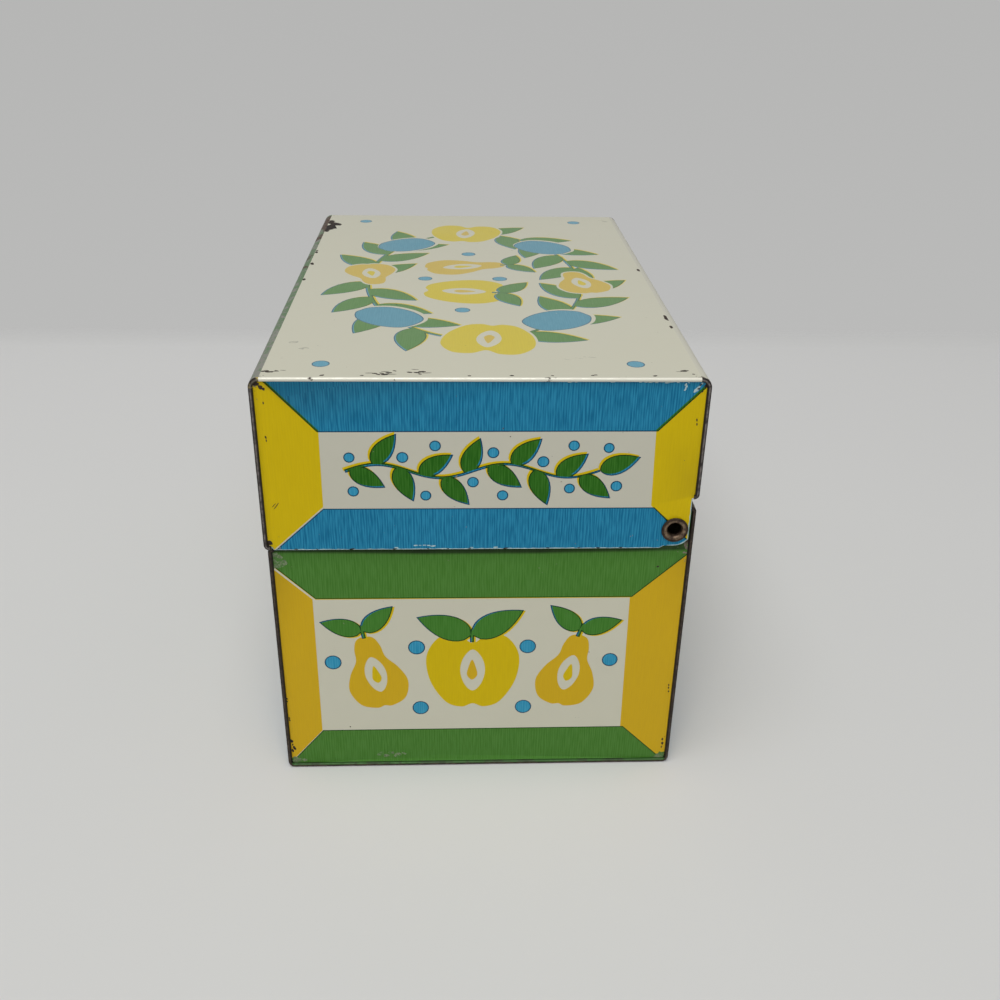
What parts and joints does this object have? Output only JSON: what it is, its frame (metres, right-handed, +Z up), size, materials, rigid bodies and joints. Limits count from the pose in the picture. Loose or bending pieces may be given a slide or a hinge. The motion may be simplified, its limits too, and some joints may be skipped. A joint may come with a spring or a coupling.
{
  "type": "recipe card box",
  "caption": "Oblong tinplate box for recipe cards, with folded end seams and a deep lid that swings back on eyelets through its ends.",
  "frame": {"origin": "middle of the bottom, on the surface that the box stands on", "axes": "+X along the box to the right-hand end, +Y from the front to the hinged back, +Z up"},
  "size_m": [0.138, 0.089, 0.0965],
  "materials": {
    "lid_tinplate": "printed and varnished tinplate, worn at the edges",
    "body_tinplate": "printed and varnished tinplate, worn at the edges",
    "eyelet_metal": "dark, tarnished"
  },
  "bodies": {
    "body": {"body_wrap": "body_tinplate", "body_end_right": "body_tinplate", "body_end_left": "body_tinplate", "hinge_eyelet_right": "eyelet_metal", "hinge_eyelet_left": "eyelet_metal"},
    "lid": {"lid_wrap": "lid_tinplate", "lid_end_right": "lid_tinplate", "lid_end_left": "lid_tinplate"}
  },
  "joints": [
    {"name": "lid_hinge", "type": "hinge", "parent": "body", "child": "lid", "pos_m": [0, 0.0402, 0.0629], "axis": [-1, 0, 0], "range_deg": [0, 118]}
  ]
}
